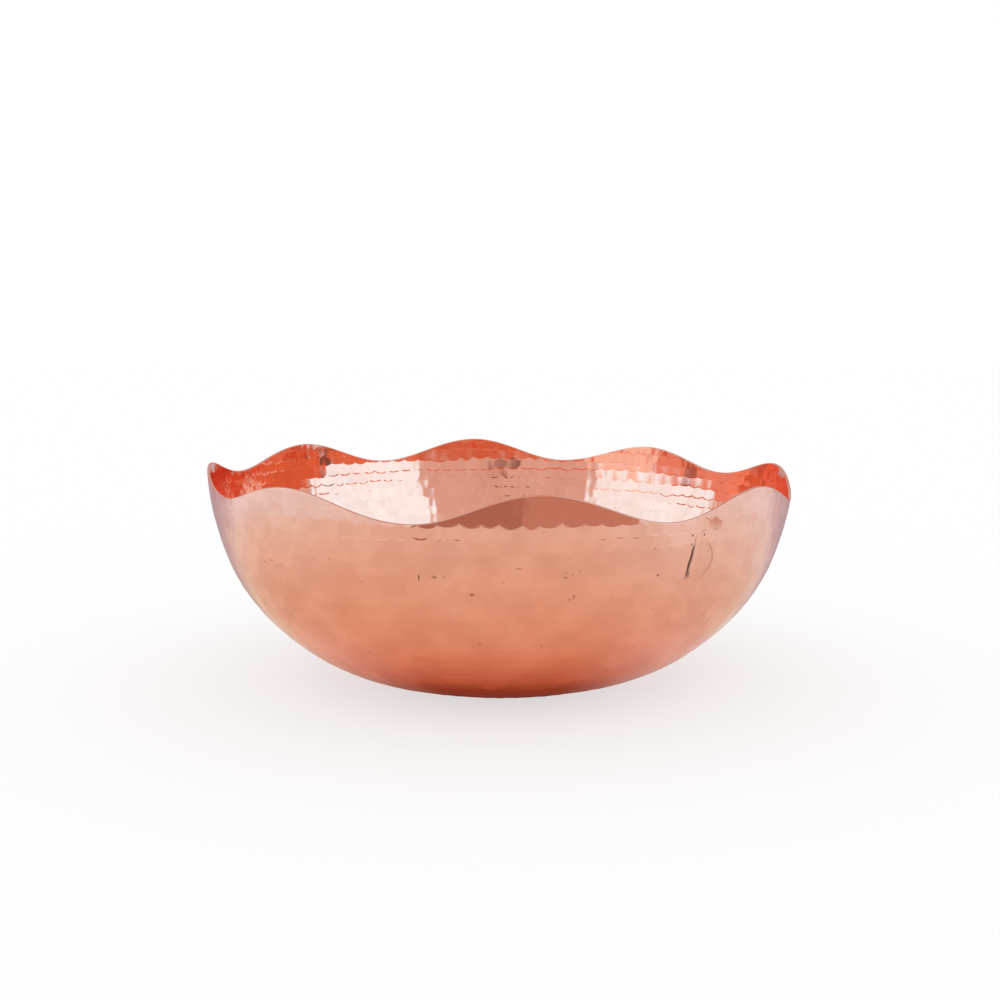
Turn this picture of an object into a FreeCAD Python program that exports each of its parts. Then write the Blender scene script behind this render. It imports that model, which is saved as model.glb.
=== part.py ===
# Hammered copper bowl with a waved rim, raised from one disc of sheet copper.
# Millimetres, +Z up. Origin at the centre of the flat resting face; the bowl's axis is Z.
import FreeCAD, Part
import math
import os

V = FreeCAD.Vector

# ---- driving dimensions -------------------------------------------------
SHEET = 1.4            # thickness of the copper sheet, measured square to the wall

# Outer meridian of the raised form: control points (radius, height) of one
# cubic spline. The first is the edge of the flat that the bowl stands on, and
# the second keeps the wall tangent to that flat. The last two draw the top of
# the wall up towards plumb, as the last courses of hammering leave it, and the
# end stands above the highest crest, so that the waved rim can be trimmed out
# of a plain edge.
MERIDIAN_POLES = [
    (44.00, 0.00),
    (57.48, 0.00),
    (88.23, 3.61),
    (130.77, 38.99),
    (146.40, 72.17),
    (151.90, 102.50),
    (152.30, 117.98),
]
MERIDIAN_KNOTS = [0.0, 0.25, 0.5, 0.75, 1.0]
MERIDIAN_MULTS = [4, 1, 1, 1, 4]

# Rim line: the eight crests and eight dips, as (angle in degrees anticlockwise
# from +X, height of the rim). They are uneven, because the wave is cut and
# dressed by hand. Between two neighbours the rim follows half a cosine wave.
RIM = [
    (8.5, 108.1),
    (31.8, 97.4),
    (53.2, 108.5),
    (75.0, 98.2),
    (96.5, 111.1),
    (118.5, 99.1),
    (140.8, 112.4),
    (163.2, 102.3),
    (184.8, 111.8),
    (209.0, 101.5),
    (230.5, 111.3),
    (254.5, 98.8),
    (276.5, 112.0),
    (300.5, 97.5),
    (321.5, 109.0),
    (346.0, 96.2),
]
RIM_STEPS = 6          # spline points along each half wave

TRIM_INNER_R = 146.0   # the rim trim runs from this radius, inside the wall, ...
TRIM_OUTER_R = 156.0   # ... to this one, outside it
TRIM_TALL = 30.0       # and takes away everything this far above the rim line


def meridian_outer():
    curve = Part.BSplineCurve()
    curve.buildFromPolesMultsKnots(
        [V(r, 0, z) for r, z in MERIDIAN_POLES],
        MERIDIAN_MULTS, MERIDIAN_KNOTS, False, 3)
    return curve


def meridian_inner(outer, steps=80):
    """The outer meridian moved square to itself by the sheet, to the hollow side."""
    lo, hi = outer.FirstParameter, outer.LastParameter
    points = []
    for i in range(steps + 1):
        u = lo + (hi - lo) * i / steps
        t = outer.tangent(u)[0]
        points.append(outer.value(u) + V(-t.z, 0, t.x) * SHEET)
    curve = Part.BSplineCurve()
    curve.approximate(Points=points, DegMin=3, DegMax=5,
                      Tolerance=0.005, Continuity="C2")
    return curve


def raised_form():
    """The whole turned shell, still with a plain level edge above the crests."""
    outer = meridian_outer()
    inner = meridian_inner(outer)
    foot_out, top_out = outer.value(outer.FirstParameter), outer.value(outer.LastParameter)
    foot_in, top_in = inner.value(inner.FirstParameter), inner.value(inner.LastParameter)
    outline = [
        Part.LineSegment(V(0, 0, 0), foot_out).toShape(),
        outer.toShape(),
        Part.LineSegment(top_out, top_in).toShape(),
        inner.toShape(),
        Part.LineSegment(foot_in, V(0, 0, foot_in.z)).toShape(),
        Part.LineSegment(V(0, 0, foot_in.z), V(0, 0, 0)).toShape(),
    ]
    section = Part.Face(Part.Wire(Part.__sortEdges__(outline)))
    return section.revolve(V(0, 0, 0), V(0, 0, 1), 360)


def half_wave(radius, a0, z0, a1, z1):
    """The rim line between two neighbours, carried out to a radius."""
    points = []
    for i in range(RIM_STEPS + 1):
        t = i / RIM_STEPS
        a = math.radians(a0 + (a1 - a0) * t)
        z = (z0 + z1) / 2 + (z0 - z1) / 2 * math.cos(math.pi * t)
        points.append(V(radius * math.cos(a), radius * math.sin(a), z))
    a0, a1 = math.radians(a0), math.radians(a1)
    curve = Part.BSplineCurve()
    curve.interpolate(Points=points,
                      InitialTangent=V(-math.sin(a0), math.cos(a0), 0),
                      FinalTangent=V(-math.sin(a1), math.cos(a1), 0))
    return curve.toShape()


def rim_trims():
    """One block per half wave, standing on the rim line, that trims the edge."""
    around = RIM + [(RIM[0][0] + 360.0, RIM[0][1])]
    blocks = []
    for (a0, z0), (a1, z1) in zip(around, around[1:]):
        edge_face = Part.makeRuledSurface(
            half_wave(TRIM_INNER_R, a0, z0, a1, z1),
            half_wave(TRIM_OUTER_R, a0, z0, a1, z1))
        blocks.append(edge_face.extrude(V(0, 0, TRIM_TALL)))
    return blocks


def bowl():
    trimmed = raised_form().cut(rim_trims())
    solids = trimmed.Solids
    assert len(solids) == 1 and solids[0].isValid()
    return solids[0]


os.makedirs("parts", exist_ok=True)

hammered_bowl = bowl()
hammered_bowl.exportStep("parts/hammered_bowl.step")

box = hammered_bowl.optimalBoundingBox()
print("hammered_bowl: valid", hammered_bowl.isValid(),
      "| faces", len(hammered_bowl.Faces),
      "| volume mm3 %.0f" % hammered_bowl.Volume,
      "| size %.2f x %.2f x %.2f" % (box.XLength, box.YLength, box.ZLength),
      "| z from %.3f" % box.ZMin)
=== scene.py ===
import math

import bpy
import numpy as np
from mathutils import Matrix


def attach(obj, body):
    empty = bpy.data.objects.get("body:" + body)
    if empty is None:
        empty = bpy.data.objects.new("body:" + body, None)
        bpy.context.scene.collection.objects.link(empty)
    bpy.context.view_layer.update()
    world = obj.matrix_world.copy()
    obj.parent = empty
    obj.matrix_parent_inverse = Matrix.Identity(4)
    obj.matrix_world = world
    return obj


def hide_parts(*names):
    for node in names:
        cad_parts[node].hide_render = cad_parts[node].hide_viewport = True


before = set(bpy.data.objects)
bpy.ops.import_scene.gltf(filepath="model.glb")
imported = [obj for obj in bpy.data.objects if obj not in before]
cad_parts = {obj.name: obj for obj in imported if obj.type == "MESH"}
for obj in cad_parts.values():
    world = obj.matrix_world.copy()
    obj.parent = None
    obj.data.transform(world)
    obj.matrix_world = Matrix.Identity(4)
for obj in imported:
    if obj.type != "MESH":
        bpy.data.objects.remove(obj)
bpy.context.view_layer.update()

# --------------------------------------------------------------------------
# The bowl's form, in millimetres, as the frame has it: one cubic spline for
# the outer meridian, a flat of 44 mm radius, and the waved rim line.
# --------------------------------------------------------------------------
SHEET = 1.4
FLAT_R = 44.0
POLES = np.array([
    (44.00, 0.00), (57.48, 0.00), (88.23, 3.61), (130.77, 38.99),
    (146.40, 72.17), (151.90, 102.50), (152.30, 117.98)])
KNOTS = np.array([0, 0, 0, 0, 0.25, 0.5, 0.75, 1, 1, 1, 1], float)
RIM = [
    (8.5, 108.1), (31.8, 97.4), (53.2, 108.5), (75.0, 98.2),
    (96.5, 111.1), (118.5, 99.1), (140.8, 112.4), (163.2, 102.3),
    (184.8, 111.8), (209.0, 101.5), (230.5, 111.3), (254.5, 98.8),
    (276.5, 112.0), (300.5, 97.5), (321.5, 109.0), (346.0, 96.2)]
EDGE = 0.38            # how far the bare cut edge is rounded over
TAU = 2 * math.pi


def spline_points(u):
    """The meridian at many parameters at once (Cox-de Boor)."""
    u = np.minimum(u, 1 - 1e-12)
    n = len(POLES)
    basis = [((KNOTS[i] <= u) & (u < KNOTS[i + 1])).astype(float)
             for i in range(n + 3)]
    for p in (1, 2, 3):
        nxt = []
        for i in range(n + 3 - p):
            a = KNOTS[i + p] - KNOTS[i]
            b = KNOTS[i + p + 1] - KNOTS[i + 1]
            v = 0
            if a > 0:
                v = v + (u - KNOTS[i]) / a * basis[i]
            if b > 0:
                v = v + (KNOTS[i + p + 1] - u) / b * basis[i + 1]
            nxt.append(v + np.zeros_like(u))
        basis = nxt
    return sum(np.outer(basis[i], POLES[i]) for i in range(n))


_c = spline_points(np.linspace(0, 1, 6001))
_c = np.vstack([np.c_[np.linspace(0, FLAT_R, 400)[:-1], np.zeros(399)], _c])
_len = np.r_[0, np.cumsum(np.hypot(*np.diff(_c, axis=0).T))]
_tan = np.gradient(_c, _len, axis=0)
_tan /= np.hypot(_tan[:, 0], _tan[:, 1])[:, None]


def mer_r(s):
    return np.interp(s, _len, _c[:, 0])


def mer_z(s):
    return np.interp(s, _len, _c[:, 1])


def mer_normal(s):
    """Outward normal of the outer face in the meridian plane, as (r, z)."""
    tr, tz = np.interp(s, _len, _tan[:, 0]), np.interp(s, _len, _tan[:, 1])
    n = np.hypot(tr, tz)
    return tz / n, -tr / n


def s_at_z(z):
    i = np.searchsorted(_c[400:, 1], z) + 400
    return float(np.interp(z, _c[i - 2:i + 2, 1], _len[i - 2:i + 2]))


def rim_height(theta):
    deg = np.degrees(np.asarray(theta, float)) % 360.0
    deg = np.where(deg < RIM[0][0], deg + 360.0, deg)
    out = np.zeros_like(deg)
    around = RIM + [(RIM[0][0] + 360.0, RIM[0][1])]
    for (a0, z0), (a1, z1) in zip(around, around[1:]):
        m = (deg >= a0) & (deg <= a1)
        t = (deg - a0) / (a1 - a0)
        out = np.where(m, (z0 + z1) / 2 + (z0 - z1) / 2 * np.cos(math.pi * t), out)
    return out


# --------------------------------------------------------------------------
# Planishing marks. The wall is covered in level courses of hammer marks. Each
# mark is a nearly flat facet with a rounded lower edge that laps over the
# course below it, so a course ends in a line of scallops.
# --------------------------------------------------------------------------
rng = np.random.default_rng(31)

S_BAND = s_at_z(98.6)                  # the scallop line under the rim's crests
S_TOP = s_at_z(117.0)
PITCH = 5.75


def courses():
    """Level course lines from the rim down to the middle of the base."""
    lines = [S_BAND + PITCH * i for i in (3, 2, 1)]
    s = S_BAND
    while s > 14.0:
        lines.append(s)
        r = float(mer_r(s))
        s -= PITCH if r > 135 else (6.3 if r > 100 else 7.0)
    lines.append(7.5)
    lines = sorted(lines)
    rows = []
    for lo, hi in zip(lines, lines[1:]):
        r = float(mer_r((lo + hi) / 2))
        if r > 134:
            n = 108
        elif r > 104:
            n = 90
        elif r > 74:
            n = 66
        elif r > 46:
            n = 44
        elif r > 22:
            n = 26
        else:
            n = 14
        rows.append(dict(lo=lo, hi=hi, n=n))
    return rows


ROWS = courses()
# columns of the grid across one mark; the set looks the same from half a mark on
ACROSS = np.array([0, .12, .38, .5, .62, .88])
SUBS = np.array([0.0, 0.48, 0.86])         # rows of the grid up one mark
FOLLOW = np.array([0.0, 0.30, 0.85])       # how far each has turned to the line above
LEDGE = SUBS[-1]

for k, row in enumerate(ROWS):
    n = row["n"]
    half = 0.5 * (k % 2)
    # side lines between the marks, unevenly spaced
    edges = (np.arange(n) + half + rng.uniform(-0.14, 0.14, n)) * TAU / n
    row["edges"] = edges                                    # ascending, may pass TAU
    wide = np.diff(np.r_[edges, edges[0] + TAU])
    row["wide"] = wide
    row["mid"] = edges + wide / 2
    drop = rng.uniform(-0.55, 0.55, n)                      # lower edge, mark by mark
    row["drop"] = drop
    row["arc"] = rng.uniform(0.9, 2.1, n) * (1.0 if n > 50 else 0.8)


def course_wander(k, theta):
    """A course line isn't quite level."""
    a = 1.7 * k
    return 0.45 * np.sin(3 * theta + a) + 0.3 * np.sin(7 * theta + 2.3 * a) \
        + 0.18 * np.sin(17 * theta - a)


def unevenness(theta, s):
    """Slow hand-made swell of the sheet, in mm along the normal."""
    f = s / 41.0
    return (0.055 * np.sin(5 * theta + 1.1 + 1.7 * np.sin(f))
            + 0.050 * np.sin(9 * theta - 2.0 * f + .4)
            + 0.035 * np.sin(14 * theta + 2.9 * f + 2.2)
            + 0.030 * np.sin(3.1 * f + 2 * theta)
            + 0.018 * np.sin(23 * theta - 5.1 * f)) * np.clip(s / 90.0, 0, 1)


# knocks in the sheet: (degrees from +X, height, half width, half height, depth)
DENTS = [
    (307.6, 79.0, 5.0, 9.5, 0.110), (304.6, 80.0, 2.4, 8.5, 0.060),
    (296.5, 82.0, 4.0, 4.5, 0.035), (258.0, 74.5, 4.5, 3.5, 0.040),
    (282.0, 70.0, 4.5, 4.0, 0.035), (223.0, 75.0, 5.0, 3.5, 0.040),
    (338.0, 66.0, 4.0, 4.0, 0.040), (150.0, 71.0, 5.5, 6.0, 0.060),
    (82.0, 58.0, 6.0, 4.5, 0.050), (35.0, 83.0, 4.5, 6.0, 0.050),
    (118.0, 84.0, 3.5, 5.0, 0.045), (12.0, 46.0, 6.0, 5.0, 0.060)]


def knocks(theta, s):
    z, r = mer_z(s), mer_r(s)
    out = 0.0
    for deg, z0, a, b, depth in DENTS:
        du = (theta - math.radians(deg) + math.pi) % TAU - math.pi
        out = out + depth * np.exp(-(du * r / a) ** 2 - ((z - z0) / b) ** 2)
    return out


def strength(s):
    """Depth of the marks: (outside, inside), by distance along the wall."""
    z = mer_z(s)
    top = 1 / (1 + np.exp(-(z - 91.0) / 3.0))
    out = 0.80 + 0.20 * top
    ins = 0.62 + 0.38 / (1 + np.exp(-(z - 55.0) / 12.0))
    return out, ins


def mark_shape(k):
    """Tilts and depth of each mark in course k, in mm and mm per mm."""
    n = ROWS[k]["n"]
    g = np.random.default_rng(1000 + k)
    # how proud the foot of each mark stands; runs of marks are alike
    t = np.arange(n) / n * TAU
    run = 0.5 + 0.5 * np.sin(5 * t + 1.9 * k) * np.sin(3 * t - 1.3 * k + 1.0)
    lip = 0.030 + 0.120 * run * g.uniform(0.45, 1.0, n)
    return dict(
        around=g.normal(0, 0.0110, n),
        along=g.normal(0.0085, 0.0060, n),
        depth=g.normal(0, 0.012, n),
        dish=g.uniform(0.0002, 0.0012, n),
        lip=lip)


for k, row in enumerate(ROWS):
    row["shape"] = mark_shape(k)

K_BAND = next(k for k, row in enumerate(ROWS) if row["lo"] > S_BAND - 0.01)
PLUMB = 0.040          # the last courses are drawn in by this much more


def plane_height(k, j, theta, s):
    """Height of mark (k, j)'s own plane over the smooth base face."""
    row = ROWS[k]
    sh = row["shape"]
    sc = (row["lo"] + row["hi"]) / 2
    tc = row["mid"][j]
    du = (theta - tc)
    du = (du + math.pi) % TAU - math.pi
    rc = mer_r(sc)
    nrc, nzc = mer_normal(sc)
    nr, nz = mer_normal(s)
    pr, pz = mer_r(s), mer_z(s)
    cr, cz = mer_r(sc), mer_z(sc)
    px = pr * np.cos(du)
    dot = (cr - px) * nrc + (cz - pz) * nzc
    den = nr * np.cos(du) * nrc + nz * nzc
    plane = dot / np.maximum(den, 0.3)
    u = du * rc
    v = s - sc
    h = (0.90 * plane + sh["around"][j] * u + sh["along"][j] * v
         + sh["depth"][j] + sh["dish"][j] * (u * u + v * v) * 0.35)
    if k >= K_BAND:
        h = h - PLUMB * np.maximum(s - S_BAND, 0)
    return h


def mark_at(k, theta):
    """Which mark of course k stands at theta, and how far across it (0 to 1)."""
    row = ROWS[k]
    e0 = row["edges"][0]
    rel = (theta - e0) % TAU
    e = row["edges"] - e0
    j = np.clip(np.searchsorted(e, rel, side="right") - 1, 0, row["n"] - 1)
    return j, (rel - e[j]) / row["wide"][j]


def course_height(k, theta, s):
    """Height of course k's marks, the seam between two marks shared by both."""
    j, f = mark_at(k, theta)
    h = plane_height(k, j, theta, s)
    n = ROWS[k]["n"]
    near = 0.045
    left = f < near
    right = f > 1 - near
    if np.any(left):
        h2 = plane_height(k, (j - 1) % n, theta, s)
        w = 0.5 * (1 - f / near)
        h = np.where(left, h * (1 - w) + h2 * w, h)
    if np.any(right):
        h2 = plane_height(k, (j + 1) % n, theta, s)
        w = 0.5 * (1 - (1 - f) / near)
        h = np.where(right, h * (1 - w) + h2 * w, h)
    return h


# ---- grid of one side ------------------------------------------------------
def build_side(inner):
    """The grid lines of one face of the sheet, bottom to top, and the function that places them."""
    verts, faces, mark = [], [], []

    def place(theta, s, d):
        """d is the outward offset made by the marks and the swell."""
        out, ins = strength(s)
        d = d * (ins if inner else out) + unevenness(theta, s) - knocks(theta, s)
        nr, nz = mer_normal(s)
        base = -SHEET if inner else 0.0
        # the resting face stays flat: marks only dent it upwards
        flat = np.clip((mer_z(s)) / 1.2, 0, 1)
        if not inner:
            d = np.where(mer_z(s) < 1.2, np.minimum(d, 0) * (0.4 + .6 * flat) + np.maximum(d, 0) * flat, d)
            # below 1.2 mm only inward, so that nothing passes under the floor
        r = mer_r(s) + nr * (base + d)
        z = mer_z(s) + nz * (base + d)
        return r, z

    def boundary(k):
        """Vertices of the line under course k: theta, s, mark index."""
        row = ROWS[k]
        n, m = row["n"], len(ACROSS)
        j = np.repeat(np.arange(n), m)
        f = np.tile(ACROSS, n)
        theta = row["edges"][j] + f * row["wide"][j]
        bow = (2 * f - 1) ** 2
        before = (j - 1) % n
        cusp = 0.5 * (row["drop"][j] + row["drop"][before])
        after = (j + 1) % n
        cusp2 = 0.5 * (row["drop"][j] + row["drop"][after])
        # ease from the cusp to the mark's own drop and back
        ends = np.where(f < .5, cusp, cusp2)
        own = row["drop"][j]
        lift = row["arc"][j] * (bow - 0.45)
        lift_end = np.where(f < .5,
                            0.5 * (row["arc"][j] + row["arc"][before]),
                            0.5 * (row["arc"][j] + row["arc"][after])) * (bow - 0.45)
        w = bow ** 1.5
        s = row["lo"] + course_wander(k, theta) + own * (1 - w) + ends * w \
            + lift * (1 - w) + lift_end * w
        if k == 0:
            s = np.full_like(theta, row["lo"])
        return theta, s, j, f

    def own_height(k, j, f, theta, s):
        """Height of the marks; a seam is shared by the two that meet there."""
        h = plane_height(k, j, theta, s)
        h2 = plane_height(k, (j - 1) % ROWS[k]["n"], theta, s)
        return np.where(f == 0, 0.5 * (h + h2), h)

    loops = []          # every line of the grid, bottom to top
    lines = [boundary(k) for k in range(len(ROWS))]
    m = len(ACROSS)
    turned = 0          # the bond of the courses turns the columns half a mark each time
    below = None
    for k, row in enumerate(ROWS):
        n = row["n"]
        theta0, s0, j, f = lines[k]
        joined = k + 1 < len(ROWS) and ROWS[k + 1]["n"] == n
        if joined:
            t1, s1, _, _ = lines[k + 1]
            shift = m // 2 if (k % 2) == 0 else -(m // 2)
            t1, s1 = np.roll(t1, shift), np.roll(s1, shift)
            t1 = t1 + np.round((theta0 - t1) / TAU) * TAU
        else:
            t1 = theta0
            if k + 1 < len(ROWS):
                tt, ss, _, _ = lines[k + 1]
                o = np.argsort(tt % TAU)
                a, b = (tt % TAU)[o], ss[o]
                s1 = np.interp(theta0 % TAU, np.r_[a[-1] - TAU, a, a[0] + TAU],
                               np.r_[b[-1], b, b[0]]) - 0.8
            else:
                s1 = np.full_like(theta0, row["hi"])
        # the foot of the course laps a little over the course below
        own = own_height(k, j, f, theta0, s0)
        if k > 0:
            bow = (2 * f - 1) ** 2
            lip = row["shape"]["lip"]
            side = lip[np.where(f < .5, (j - 1) % n, (j + 1) % n)]
            lip = lip[j] * (1 - bow) + 0.5 * (lip[j] + side) * bow
            if below is None:
                under = course_height(k - 1, theta0, s0)
            else:
                under = own_height(k - 1, below[0], below[1], theta0, s0)
            foot = under - lip * (1 - 0.5 * bow) * (1.0 if inner else 0.60)
        else:
            foot = own
        lift = foot - own
        for t, w in zip(SUBS, FOLLOW):
            th = theta0 + (t1 - theta0) * w
            s = s0 + (s1 - s0) * t
            d = own_height(k, j, f, th, s) + lift * max(0.0, 1 - t / LEDGE) ** 1.2
            loops.append(dict(theta=np.roll(th, turned), s=np.roll(s, turned),
                              d=np.roll(d, turned), zipper=False,
                              crisp=(t == LEDGE or (t == 0 and k > 0))))
        if joined:
            below = np.roll(j, -shift), np.roll(f, -shift)
            turned += shift
        else:
            d = own_height(k, j, f, theta0, s1)
            loops.append(dict(theta=np.roll(theta0, turned), s=np.roll(s1, turned),
                              d=np.roll(d, turned), zipper=True,
                              last=(k + 1 == len(ROWS))))
            below = None
            turned = 0
    for lo, hi in zip(loops, loops[1:]):       # keep angles running on past a full turn
        if len(lo["theta"]) == len(hi["theta"]):
            hi["theta"] = hi["theta"] + np.round((lo["theta"] - hi["theta"]) / TAU) * TAU
    return loops, place


def clip_line(th, s, z_of, rim_z):
    """True where a grid line stands above the rim."""
    return z_of > rim_z


class Mesher:
    def __init__(self):
        self.co, self.faces, self.tag = [], [], []
        self.crisp = set()

    def mark(self, loop):
        """The lip of a course is crisp: no soft shading over these edges."""
        for a, b in zip(loop, loop[1:] + loop[:1]):
            if a != b:
                self.crisp.add((a, b) if a < b else (b, a))

    def add(self, pts, tag):
        i = len(self.co)
        self.co.extend(pts)
        self.tag.extend([tag] * len(pts))
        return list(range(i, i + len(pts)))


def xyz(theta, r, z):
    return np.c_[r * np.cos(theta), r * np.sin(theta), z]


def zip_loops(a, ta, b, tb, faces):
    """Triangles between two closed loops that have different counts."""
    oa, ob = np.argsort(ta % TAU), np.argsort(tb % TAU)
    ia, ib = [a[i] for i in oa], [b[i] for i in ob]
    aa, bb = (ta % TAU)[oa], (tb % TAU)[ob]
    na, nb = len(ia), len(ib)
    i = j = 0
    while i < na or j < nb:
        a_next = aa[(i + 1) % na] + TAU * ((i + 1) // na)
        b_next = bb[(j + 1) % nb] + TAU * ((j + 1) // nb)
        if j >= nb or (i < na and a_next <= b_next):
            faces.append((ia[i % na], ia[(i + 1) % na], ib[j % nb]))
            i += 1
        else:
            faces.append((ia[i % na], ib[(j + 1) % nb], ib[j % nb]))
            j += 1


def make_side(inner, mesh):
    loops, place = build_side(inner)
    cap = EDGE
    prev = None                       # (indices, theta, done flags)
    rim_idx = rim_theta = None
    count = None
    for li, lp in enumerate(loops):
        if prev is not None and prev["crisp"]:
            mesh.mark(prev["idx"])
        th, s = lp["theta"], lp["s"]
        r, z = place(th, s, lp["d"])
        lim = rim_height(th) - cap
        over = z > lim - 0.30         # close under the rim counts as on it
        n = len(th)
        if prev is not None and prev["n"] == n and prev["shape"] == n and not prev["zipper"]:
            # same columns: see which ones have already ended at the rim
            ended = prev["ended"]
            idx = [None] * n
            pts = xyz(th, r, z)
            new_ended = ended.copy()
            for c in range(n):
                if ended[c]:
                    idx[c] = prev["idx"][c]
                elif over[c]:
                    # walk from the vertex below up to the rim
                    p, q = prev["pos"][c], (th[c], s[c], lp["d"][c])
                    lo, hi = 0.0, 1.0
                    for _ in range(3 if z[c] < lim[c] else 26):
                        mid = (lo + hi) / 2
                        t_, s_, d_ = (p[i] + (q[i] - p[i]) * mid for i in range(3))
                        rr, zz = place(t_, s_, d_)
                        if zz > rim_height(t_) - cap:
                            hi = mid
                        else:
                            lo = mid
                    if z[c] < lim[c]:
                        t_, s_, d_ = q
                    rr, zz = place(t_, s_, d_)
                    zz = float(rim_height(t_)) - cap
                    pt = (float(rr) * math.cos(t_), float(rr) * math.sin(t_), zz)
                    idx[c] = mesh.add([pt], 1 if inner else 0)[0]
                    new_ended[c] = True
                    rim_theta[c] = t_
                else:
                    idx[c] = mesh.add([tuple(pts[c])], 1 if inner else 0)[0]
            a, b = prev["idx"], idx
            for c in range(n):
                c2 = (c + 1) % n
                quad = [a[c], a[c2], b[c2], b[c]]
                keep = []
                for v in quad:
                    if not keep or (v != keep[-1] and v != keep[0]):
                        keep.append(v)
                if len(set(keep)) >= 3:
                    mesh.faces.append(tuple(keep))
            prev = dict(idx=idx, n=n, shape=n, ended=new_ended, zipper=lp["zipper"],
                        crisp=lp.get("crisp", False),
                        pos=[(th[c], s[c], lp["d"][c]) for c in range(n)], theta=th)
        else:
            idx = mesh.add([tuple(p) for p in xyz(th, r, z)], 1 if inner else 0)
            if prev is not None:
                zip_loops(prev["idx"], prev["theta"], idx, th, mesh.faces)
            else:
                # the middle of the base
                rc, zc = place(np.array(0.0), np.array(0.0), np.array(0.0))
                centre = mesh.add([(0.0, 0.0, float(zc))], 1 if inner else 0)[0]
                for c in range(n):
                    mesh.faces.append((centre, idx[(c + 1) % n], idx[c]))
            rim_theta = np.array(th, float).copy()
            prev = dict(idx=idx, n=n, shape=n, ended=np.zeros(n, bool),
                        crisp=lp.get("crisp", False),
                        zipper=lp["zipper"] and not lp.get("last"),
                        pos=[(th[c], s[c], lp["d"][c]) for c in range(n)], theta=th)
    return prev["idx"], rim_theta


def build_bowl():
    m = Mesher()
    side_faces = []
    out_idx, out_t = make_side(False, m)
    n_out = len(m.faces)
    in_idx, in_t = make_side(True, m)
    n_in = len(m.faces)
    # the inside faces the axis, so its faces turn the other way
    m.faces[n_out:n_in] = [tuple(reversed(f)) for f in m.faces[n_out:n_in]]
    # the bare cut edge: rounded over on both corners
    n = len(out_idx)
    co = m.co
    prev = out_idx
    steps = [(0.30, 0.70), (1.0, 1.0)]
    rings = []
    g = np.random.default_rng(7)
    for side in (0, 1):
        order = steps if side == 0 else steps[::-1]
        for a, b in order:
            ring = []
            for c in range(n):
                p, q = np.array(co[out_idx[c]]), np.array(co[in_idx[c]])
                across = q - p
                wide = float(np.linalg.norm(across[:2]))
                u = a * EDGE / max(wide, .5)
                u = u if side == 0 else 1 - u
                pt = p + across * u
                base = p[2] + (q[2] - p[2]) * u
                pt[2] = base + EDGE * b
                ring.append(tuple(pt))
            rings.append(m.add(ring, 2))
    loop = [out_idx] + rings + [in_idx]
    for a, b in zip(loop, loop[1:]):
        for c in range(n):
            c2 = (c + 1) % n
            m.faces.append((a[c], a[c2], b[c2], b[c]))
    return m


m = build_bowl()
co = np.array(m.co) / 1000.0
mesh = bpy.data.meshes.new("copper_bowl")
mesh.from_pydata([tuple(p) for p in co], [], m.faces)
edge_at = mesh.attributes.new("edge", "FLOAT", "POINT")
edge_at.data.foreach_set("value", [1.0 if t == 2 else 0.0 for t in m.tag])
out_at = mesh.attributes.new("outside", "FLOAT", "POINT")
out_at.data.foreach_set("value", [1.0 if t == 0 else 0.0 for t in m.tag])
mesh.validate()
mesh.polygons.foreach_set("use_smooth", [True] * len(mesh.polygons))
pairs = np.zeros(len(mesh.edges) * 2, dtype=np.int64)
mesh.edges.foreach_get("vertices", pairs)
pairs = np.sort(pairs.reshape(-1, 2), axis=1)
sharp = mesh.attributes.new("sharp_edge", "BOOLEAN", "EDGE")
sharp.data.foreach_set("value", [(int(a), int(b)) in m.crisp for a, b in pairs])
mesh.update()
bowl = bpy.data.objects.new("copper_bowl", mesh)
bpy.context.scene.collection.objects.link(bowl)
tris = sum(len(p.vertices) - 2 for p in mesh.polygons)
print("BOWL verts", len(mesh.vertices), "tris", tris)

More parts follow.
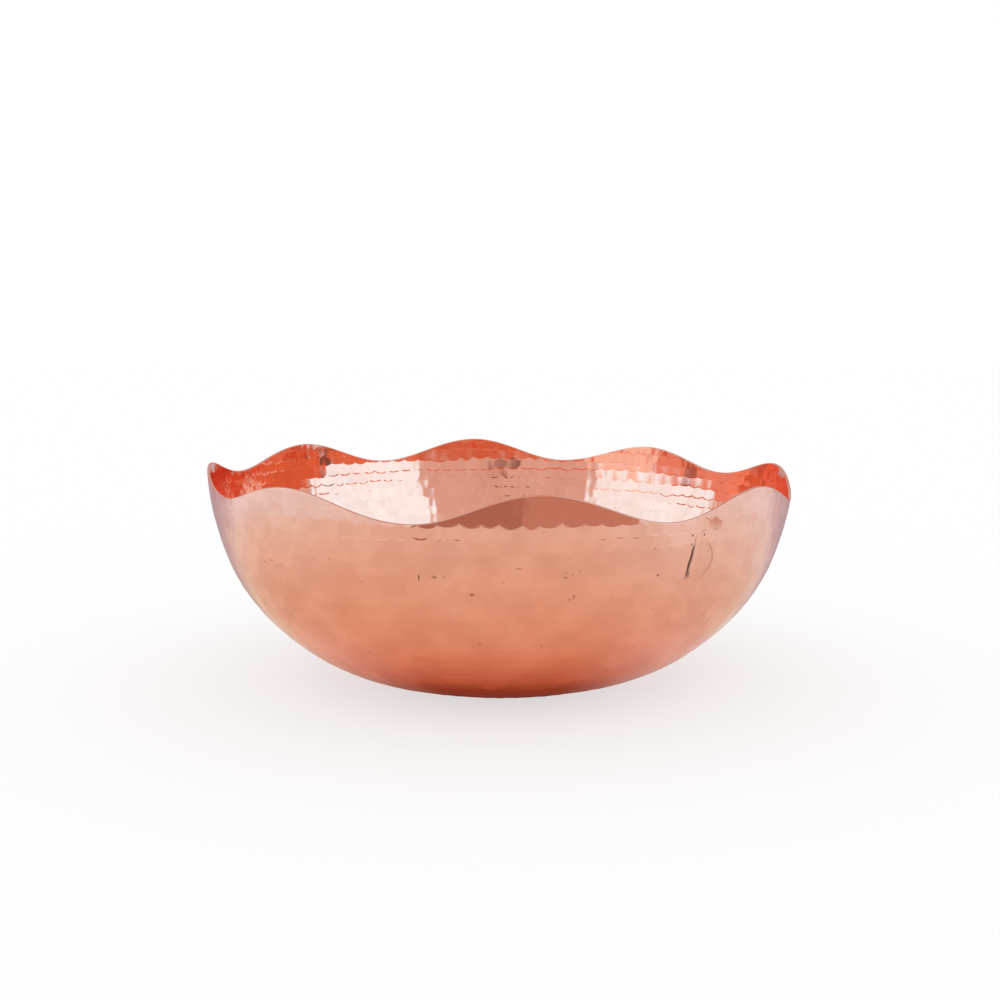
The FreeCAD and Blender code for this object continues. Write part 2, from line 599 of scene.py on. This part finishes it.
# --------------------------------------------------------------------------
# Shader helper: small arithmetic on node sockets
# --------------------------------------------------------------------------
class Nodes:
    def __init__(self, tree):
        self.t = tree

    def put(self, socket, value):
        if isinstance(value, bpy.types.NodeSocket):
            self.t.links.new(value, socket)
        else:
            socket.default_value = value

    def new(self, kind, **props):
        n = self.t.nodes.new(kind)
        for k, v in props.items():
            setattr(n, k, v)
        return n

    def math(self, op, a, b=0.0, c=0.0, clamp=False):
        n = self.new("ShaderNodeMath", operation=op, use_clamp=clamp)
        for sock, v in zip(n.inputs, (a, b, c)):
            self.put(sock, v)
        return n.outputs[0]

    def add(self, a, b):
        return self.math("ADD", a, b)

    def sub(self, a, b):
        return self.math("SUBTRACT", a, b)

    def mul(self, a, b):
        return self.math("MULTIPLY", a, b)

    def step(self, x, lo, hi):
        """0 below lo, 1 above hi, smooth between."""
        n = self.new("ShaderNodeMapRange", interpolation_type="SMOOTHSTEP")
        self.put(n.inputs["Value"], x)
        flip = hi < lo
        n.inputs["From Min"].default_value = hi if flip else lo
        n.inputs["From Max"].default_value = lo if flip else hi
        n.inputs["To Min"].default_value = 1.0 if flip else 0.0
        n.inputs["To Max"].default_value = 0.0 if flip else 1.0
        return n.outputs["Result"]

    def band(self, x, a, b, soft):
        return self.mul(self.step(x, a - soft, a + soft), self.step(x, b + soft, b - soft))

    def mix(self, f, a, b, blend="MIX"):
        n = self.new("ShaderNodeMix", data_type="RGBA", blend_type=blend,
                     clamp_result=False, clamp_factor=True)
        self.put(n.inputs[0], f)
        for i, v in ((6, a), (7, b)):
            self.put(n.inputs[i], v if isinstance(v, bpy.types.NodeSocket) else (*v, 1.0))
        return n.outputs[2]

    def ramp(self, x, stops):
        n = self.new("ShaderNodeValToRGB")
        cr = n.color_ramp
        cr.interpolation = "LINEAR"
        while len(cr.elements) > 1:
            cr.elements.remove(cr.elements[-1])
        for i, (p, c) in enumerate(stops):
            e = cr.elements[0] if i == 0 else cr.elements.new(p)
            e.position = p
            e.color = (*c, 1.0)
        self.put(n.inputs[0], x)
        return n.outputs[0]

    def polar(self, vec):
        """Angle round Z in degrees, 0 to the front and + to the right; and x, y, z."""
        sep = self.new("ShaderNodeSeparateXYZ")
        self.t.links.new(vec, sep.inputs[0])
        x, y, z = sep.outputs
        az = self.mul(self.math("ARCTAN2", x, self.mul(y, -1.0)), 180 / math.pi)
        return az, x, y, z


# --------------------------------------------------------------------------
# Copper
# --------------------------------------------------------------------------
COPPER = (0.94, 0.43, 0.30)


# small dark marks that the sheet carries outside: degrees from the front, height,
# half width, half height (mm), depth of tone
SPECKS = [
    (-75.0, 93.3, 0.8, 0.8, 0.7), (-14.0, 75.1, 0.5, 1.5, 0.9), (-11.3, 75.6, 1.1, 0.5, 0.5),
    (-9.6, 75.8, 0.7, 0.4, 0.4), (-5.0, 67.8, 1.2, 0.7, 0.6), (-48.5, 74.4, 1.0, 0.5, 0.6),
    (-46.0, 76.0, 0.9, 0.4, 0.5), (12.0, 65.0, 0.9, 0.5, 0.5), (3.0, 79.9, 1.4, 0.35, 0.4),
    (11.0, 75.3, 1.3, 0.5, 0.4), (12.2, 76.5, 0.4, 1.0, 0.35), (27.0, 86.3, 0.4, 0.6, 0.5),
    (28.5, 73.7, 0.7, 0.7, 0.6), (69.5, 64.2, 0.9, 0.9, 0.9), (34.6, 90.6, 0.45, 0.5, 0.9),
    (37.4, 90.4, 0.4, 0.7, 0.8), (34.7, 86.6, 0.4, 0.5, 0.6), (118.0, 71.0, 0.8, 0.6, 0.6),
    (-140.0, 63.0, 0.9, 0.9, 0.7), (171.0, 82.0, 0.6, 1.2, 0.6), (148.0, 49.0, 1.2, 0.6, 0.5),
    (-104.0, 57.0, 0.8, 0.8, 0.6), (-47.0, 48.5, 0.5, 1.4, 0.40), (-37.5, 97.0, 0.4, 1.2, 0.22),
    (11.0, 77.6, 1.5, 0.6, 0.22), (13.5, 78.2, 0.5, 1.0, 0.22), (12.9, 66.3, 0.45, 1.3, 0.40),
    (8.0, 42.0, 1.0, 0.7, 0.25), (-4.0, 43.0, 0.9, 0.7, 0.25), (29.0, 57.5, 0.5, 0.8, 0.20),
    (-33.0, 41.0, 1.0, 0.6, 0.22), (41.5, 56.0, 0.6, 0.6, 0.22), (-25.0, 71.5, 0.9, 0.5, 0.22),
    (-31.0, 80.5, 0.4, 1.3, 0.18), (0.5, 73.8, 0.7, 0.5, 0.20), (-29.5, 34.0, 0.8, 0.7, 0.28)]


def copper_material():
    mat = bpy.data.materials.new("hammered_copper")
    mat.use_nodes = True
    nt = mat.node_tree
    N = Nodes(nt)
    bsdf = nt.nodes["Principled BSDF"]
    bsdf.inputs["Metallic"].default_value = 1.0
    pos = N.new("ShaderNodeTexCoord").outputs["Object"]
    az, x, y, z = N.polar(pos)
    mm = N.mul(z, 1000.0)

    def noise(scale, stretch=(1, 1, 1), detail=3.0, rough=0.5):
        mp = N.new("ShaderNodeMapping")
        mp.inputs["Scale"].default_value = stretch
        nt.links.new(pos, mp.inputs["Vector"])
        n = N.new("ShaderNodeTexNoise")
        n.inputs["Scale"].default_value = scale
        n.inputs["Detail"].default_value = detail
        n.inputs["Roughness"].default_value = rough
        nt.links.new(mp.outputs[0], n.inputs["Vector"])
        return n.outputs["Fac"]

    def attr(name):
        n = N.new("ShaderNodeAttribute", attribute_name=name)
        return n.outputs["Fac"]

    outside, edge = attr("outside"), attr("edge")
    wob = N.mul(N.sub(noise(620.0), 0.5), 2.2)       # breaks up the marks' outlines

    def blot(a0, z0, ra, rz):
        da = N.mul(N.sub(az, a0), 2.62 / ra)
        dz = N.mul(N.sub(mm, z0), 1.0 / rz)
        e = N.math("SQRT", N.add(N.mul(da, da), N.mul(dz, dz)))
        return N.step(N.add(e, wob), 1.25, 0.55)

    dark = None
    for a0, z0, ra, rz, k in SPECKS:
        b = N.mul(blot(a0, z0, ra, rz), k)
        dark = b if dark is None else N.math("MAXIMUM", dark, b)
    # a scratch down the wall, and further down the faint edge of the knock beside it, in painted shade
    line = N.sub(N.sub(az, 35.0), N.mul(N.sub(mm, 76.0), 0.034))
    across = N.math("ABSOLUTE", N.add(N.mul(line, 2.62), N.mul(N.sub(noise(260.0), 0.5), 0.9)))
    span = N.mul(N.step(mm, 70.4, 73.0), N.step(mm, 88.0, 84.0))
    scratch = N.mul(N.step(across, 0.85, 0.30), span)
    thin = N.mul(N.step(across, 0.40, 0.10), N.mul(N.step(mm, 83.0, 85.0), N.step(mm, 91.0, 89.0)))
    scratch = N.math("MAXIMUM", N.mul(scratch, 0.95), N.mul(thin, 0.45))
    twin = N.math("ABSOLUTE", N.sub(N.mul(line, 2.62), 0.95))
    twin = N.mul(N.step(twin, 0.36, 0.10), N.mul(N.step(mm, 72.0, 74.5), N.step(mm, 84.5, 81.0)))
    scratch = N.math("MAXIMUM", scratch, N.mul(twin, 0.6))
    foot = N.mul(blot(35.2, 72.2, 1.3, 2.0), 0.55)
    dark = N.math("MAXIMUM", dark, N.math("MAXIMUM", scratch, foot))
    dark = N.mul(dark, outside)
    # painted shade: a darker curve along the edge of the knock, where the dent turns the reflection away
    q = N.mul(N.sub(mm, 78.0), 1 / 9.5)
    curve = N.sub(N.sub(az, 40.6), N.mul(N.mul(q, q), -2.6))
    knock_edge_painted_shade = N.mul(N.step(N.math("ABSOLUTE", N.mul(curve, 2.62)), 0.9, 0.2),
                 N.mul(N.step(mm, 68.5, 71.5), N.step(mm, 88.5, 85.0)))
    knock_edge_painted_shade = N.mul(N.mul(knock_edge_painted_shade, 0.48), outside)

    # tone: handling, a warmer cast in scattered patches, rare pin spots
    cloud = N.step(noise(22.0, detail=4.0), 0.35, 0.68)
    streak = N.step(noise(60.0, (1.0, 1.0, 0.14), 4.0, 0.55), 0.42, 0.62)
    col = N.mix(N.mul(cloud, 0.35), (*COPPER,), (0.90, 0.385, 0.255))
    col = N.mix(N.mul(streak, 0.30), col, (0.965, 0.475, 0.35))
    pins = N.new("ShaderNodeTexVoronoi", feature="F1")
    pins.inputs["Scale"].default_value = 95.0
    nt.links.new(pos, pins.inputs["Vector"])
    pin = N.mul(N.step(pins.outputs["Distance"], 0.085, 0.04),
                N.step(noise(31.0, detail=1.0), 0.60, 0.66))
    col = N.mix(N.mul(pin, 0.45), col, (0.42, 0.15, 0.09))
    col = N.mix(knock_edge_painted_shade, col, (0.50, 0.17, 0.10))
    col = N.mix(dark, col, (0.10, 0.035, 0.025))
    col = N.mix(N.mul(edge, 0.75), col, (0.55, 0.17, 0.09))
    nt.links.new(col, bsdf.inputs["Base Color"])
    rough = N.add(0.065, N.mul(cloud, 0.035))
    rough = N.add(rough, N.mul(N.math("MAXIMUM", dark, N.mul(edge, 0.6)), 0.28))
    nt.links.new(rough, bsdf.inputs["Roughness"])

    # the skin of the metal: faint ripples left by the hammer face, and the scratch
    ripple = N.mul(N.sub(noise(150.0, (1.0, 1.0, 0.45), 2.0, 0.45), 0.5), 0.9)
    grain = N.mul(N.sub(noise(900.0, detail=2.0), 0.5), 0.06)
    height = N.sub(N.add(ripple, grain), N.mul(dark, 1.2))
    bump = N.new("ShaderNodeBump")
    bump.inputs["Strength"].default_value = 1.0
    bump.inputs["Distance"].default_value = 0.00003
    nt.links.new(height, bump.inputs["Height"])
    nt.links.new(bump.outputs[0], bsdf.inputs["Normal"])
    return mat


bowl.data.materials.append(copper_material())
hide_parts("hammered_bowl")
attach(bowl, "root")

# --------------------------------------------------------------------------
# Camera
# --------------------------------------------------------------------------
cam_data = bpy.data.cameras.new("camera")
cam = bpy.data.objects.new("camera", cam_data)
bpy.context.scene.collection.objects.link(cam)
ELEV, DIST, TARGET_Z = 0.127, 0.7386, 0.090
cam.location = (0.0, -DIST * math.cos(ELEV), TARGET_Z + DIST * math.sin(ELEV))
cam.rotation_euler = (math.pi / 2 - ELEV, 0, 0)
cam_data.sensor_width = 36.0
cam_data.lens = 50.26
cam_data.shift_x = -0.0006
cam_data.shift_y = 0.0018
bpy.context.scene.camera = cam

# --------------------------------------------------------------------------
# Floor. One sheet is what the camera sees. The other glows and gives the reflections only: a painted
# reflection of the lit table top as the polished copper sees it, with a painted shadow and painted
# copper-red bounce light close to the bowl.
# --------------------------------------------------------------------------


def square(name, half, z):
    me = bpy.data.meshes.new(name)
    me.from_pydata([(-half, -half, z), (half, -half, z), (half, half, z), (-half, half, z)],
                   [], [(0, 1, 2, 3)])
    ob = bpy.data.objects.new(name, me)
    bpy.context.scene.collection.objects.link(ob)
    mt = bpy.data.materials.new(name)
    mt.use_nodes = True
    me.materials.append(mt)
    return ob, mt


floor, fmat = square("floor", 6.0, 0.0)
fb = fmat.node_tree.nodes["Principled BSDF"]
fb.inputs["Base Color"].default_value = (0.31, 0.31, 0.31, 1)
fb.inputs["Emission Color"].default_value = (1, 1, 1, 1)
fb.inputs["Emission Strength"].default_value = 0.655
fb.inputs["Roughness"].default_value = 1.0
fb.inputs["Specular IOR Level"].default_value = 0.0
floor.visible_glossy = False

glow, gmat = square("floor_glow", 6.0, -0.0004)
glow.visible_camera = False
glow.visible_diffuse = False
glow.visible_shadow = False
glow.visible_transmission = False
G = Nodes(gmat.node_tree)
gmat.node_tree.nodes.remove(gmat.node_tree.nodes["Principled BSDF"])
geo = G.new("ShaderNodeNewGeometry")
az, gx, gy, gz = G.polar(geo.outputs["Position"])
rho = G.math("SQRT", G.add(G.mul(gx, gx), G.mul(gy, gy)))
away = G.math("ABSOLUTE", az)
# painted reflection of the table by distance from the axis: dark and copper-red next to the bowl (painted
# shadow and painted bounce light off the copper), pale and cool further out
front = G.ramp(rho, [
    (0.060, (0.15, 0.032, 0.018)), (0.084, (0.28, 0.067, 0.037)), (0.091, (0.455, 0.145, 0.075)),
    (0.100, (0.57, 0.24, 0.165)), (0.112, (0.68, 0.38, 0.26)), (0.130, (0.75, 0.52, 0.42)),
    (0.150, (0.77, 0.61, 0.50)), (0.180, (0.79, 0.68, 0.57)), (0.220, (0.79, 0.74, 0.65)),
    (0.260, (0.79, 0.77, 0.71)), (0.340, (0.82, 0.86, 0.84)), (0.420, (0.84, 0.98, 1.02)),
    (0.600, (0.86, 1.06, 1.18)), (1.000, (0.86, 1.06, 1.20))])
side = G.ramp(rho, [
    (0.060, (0.40, 0.20, 0.18)), (0.080, (0.50, 0.28, 0.25)), (0.090, (0.62, 0.38, 0.34)),
    (0.100, (0.68, 0.46, 0.42)), (0.112, (0.75, 0.56, 0.52)), (0.130, (0.77, 0.65, 0.58)),
    (0.150, (0.77, 0.69, 0.62)), (0.180, (0.78, 0.75, 0.69)), (0.210, (0.79, 0.81, 0.78)),
    (0.250, (0.81, 0.87, 0.90)), (0.295, (0.83, 0.95, 1.01)), (0.350, (0.845, 1.01, 1.10)),
    (0.420, (0.84, 1.04, 1.19)), (0.510, (0.86, 1.12, 1.32)), (0.630, (0.88, 1.17, 1.40)),
    (1.000, (0.88, 1.17, 1.40))])
back = G.ramp(rho, [
    (0.060, (0.42, 0.29, 0.26)), (0.100, (0.54, 0.45, 0.43)), (0.200, (0.57, 0.50, 0.49)),
    (0.400, (0.57, 0.51, 0.52)), (1.000, (0.60, 0.56, 0.60))])
# painted reflection: the front, side and back ramps are blended round the bowl and tinted by angle
painted_table_reflection = G.mix(G.step(away, 18, 62), front, side)
painted_table_reflection = G.mix(G.step(away, 100, 150), painted_table_reflection, back)
painted_table_reflection = G.mix(G.mul(G.mul(G.step(az, -15, -50), G.step(az, -165, -120)), G.step(rho, 0.50, 0.25)), painted_table_reflection,
              G.mix(1.0, painted_table_reflection, (1.01, 0.94, 0.86), "MULTIPLY"))
painted_table_reflection = G.mix(G.mul(G.band(az, 47.0, 65.0, 3.0), G.step(rho, 0.24, 0.32)), painted_table_reflection,
              G.mix(1.0, painted_table_reflection, (1.05, 1.09, 1.16), "MULTIPLY"))
painted_table_reflection = G.mix(G.band(away, 115, 168, 9), painted_table_reflection,
              G.mix(1.0, painted_table_reflection, (0.85, 0.75, 0.77), "MULTIPLY"))
# painted reflection: the reflected table's tone isn't even, so each mark of the hammer picks up its own
# shade
lay = G.new("ShaderNodeCombineXYZ")
G.put(lay.inputs[0], G.mul(G.math("DIVIDE", gx, rho), 5.0))
G.put(lay.inputs[1], G.mul(G.math("DIVIDE", gy, rho), 5.0))
G.put(lay.inputs[2], G.mul(G.math("LOGARITHM", rho, math.e), 5.0))
painted_reflection_mottle = G.new("ShaderNodeTexNoise")
painted_reflection_mottle.inputs["Scale"].default_value = 1.0
painted_reflection_mottle.inputs["Detail"].default_value = 2.0
G.t.links.new(lay.outputs[0], painted_reflection_mottle.inputs["Vector"])
painted_table_reflection = G.mix(G.step(painted_reflection_mottle.outputs["Fac"], 0.33, 0.67),
              G.mix(1.0, painted_table_reflection, (0.955, 0.935, 0.93), "MULTIPLY"),
              G.mix(1.0, painted_table_reflection, (1.045, 1.065, 1.07), "MULTIPLY"))
# painted reflection: past the table's front edge the room is dark
edge = G.step(rho, 0.345, 0.368)
hole = G.mul(G.band(az, -27.0, 44.0, 3.0), edge)
dim = G.mix(G.step(az, 5.5, 8.5), (0.44, 0.285, 0.235), (0.57, 0.395, 0.345))
painted_table_reflection = G.mix(hole, painted_table_reflection, dim)
# painted reflection of a small dull object standing on the table
spot = G.mul(G.band(az, 69.8, 75.2, 0.8), G.band(rho, 0.365, 0.45, 0.01))
painted_table_reflection = G.mix(spot, painted_table_reflection, (0.62, 0.47, 0.42))
em = G.new("ShaderNodeEmission")
G.t.links.new(painted_table_reflection, em.inputs["Color"])
G.t.links.new(em.outputs[0], G.t.nodes["Material Output"].inputs["Surface"])

# --------------------------------------------------------------------------
# Studio: a white tent, with a soft box to each side of the camera
# --------------------------------------------------------------------------
world = bpy.data.worlds.new("studio")
bpy.context.scene.world = world
world.use_nodes = True
W = Nodes(world.node_tree)
tc = W.new("ShaderNodeTexCoord")
az, wx, wy, wz = W.polar(tc.outputs["Generated"])
elev = W.mul(W.math("ARCSINE", wz), 180 / math.pi)
away = W.math("ABSOLUTE", az)
tent = W.ramp(W.mul(elev, 1 / 90.0), [
    (0.00, (0.76, 0.73, 0.74)), (0.35, (0.76, 0.73, 0.74)), (0.55, (0.85, 0.86, 0.88)),
    (0.80, (0.95, 1.05, 1.10)), (1.00, (0.98, 1.10, 1.18))])
tent = W.mix(W.step(away, 105, 140), tent, (0.84, 0.92, 0.98))
# the soft box on the right of the camera, and the one on the left
high = W.step(elev, 62, 48)
tent = W.mix(W.mul(W.band(az, 37.0, 92.0, 1.5), high), tent, (1.04, 1.84, 2.45))
tent = W.mix(W.mul(W.band(az, -108.0, -44.0, 3.0), high), tent, (1.03, 1.76, 2.32))
# low down round the room: painted reflection, copper-orange for light bounced off the bowl's own copper
low = W.step(elev, 9.0, 7.0)
low_side = W.mul(W.step(elev, 12.2, 10.8), W.math("MAXIMUM", W.step(az, 82, 86), W.step(az, -70, -74)))
low = W.math("MAXIMUM", low, low_side)
low_painted_bounce = W.mix(W.band(az, -94.0, -88.0, 1.0), (0.80, 0.27, 0.15), (0.40, 0.16, 0.12))
low_painted_bounce = W.mix(W.band(az, -20.0, 37.0, 3.0), low_painted_bounce, (0.69, 0.24, 0.14))
low_painted_bounce = W.mix(W.mul(W.band(az, -121.0, -71.0, 2.0), W.sub(1.0, W.band(az, -94.0, -88.0, 1.0))),
             low_painted_bounce, (0.86, 0.44, 0.36))
low_painted_bounce = W.mix(W.math("MAXIMUM", W.step(az, 86, 90), W.step(az, -121, -125)), low_painted_bounce, (0.73, 0.205, 0.105))
tent = W.mix(low, tent, low_painted_bounce)
# painted reflections: two dark copper-red patches low in the room
tent = W.mix(W.mul(W.band(az, 79.5, 84.5, 1.0), W.band(elev, -2.0, 9.0, 1.5)), tent, (0.22, 0.11, 0.09))
tent = W.mix(W.mul(W.band(az, -9.0, 3.5, 1.5), W.band(elev, 11.6, 15.6, 0.7)), tent, (0.20, 0.085, 0.06))
fill = W.mul(W.band(az, -71.0, -40.0, 1.5), W.step(elev, 14.0, 13.0))
tent = W.mix(fill, tent, (1.04, 1.00, 0.98))
# the tent's cloth isn't lit quite evenly
cloth = W.new("ShaderNodeTexNoise")
cloth.inputs["Scale"].default_value = 9.0
cloth.inputs["Detail"].default_value = 2.0
W.t.links.new(tc.outputs["Generated"], cloth.inputs["Vector"])
tent = W.mix(W.step(cloth.outputs["Fac"], 0.33, 0.67),
             W.mix(1.0, tent, (0.95, 0.925, 0.92), "MULTIPLY"),
             W.mix(1.0, tent, (1.05, 1.075, 1.08), "MULTIPLY"))
lp = W.new("ShaderNodeLightPath")
seen = W.mix(lp.outputs["Is Camera Ray"], (1.10, 1.10, 1.10), (1.0, 1.0, 1.0))
col = W.mix(lp.outputs["Is Glossy Ray"], seen, tent)
bg = world.node_tree.nodes["Background"]
W.t.links.new(col, bg.inputs["Color"])
bg.inputs["Strength"].default_value = 1.0

scn = bpy.context.scene
# light runs round inside a polished bowl for many turns before it gets out
scn.cycles.max_bounces = 24
scn.cycles.glossy_bounces = 24
scn.view_settings.view_transform = "Standard"
scn.view_settings.look = "None"
scn.view_settings.exposure = 0.0
scn.view_settings.gamma = 1.0
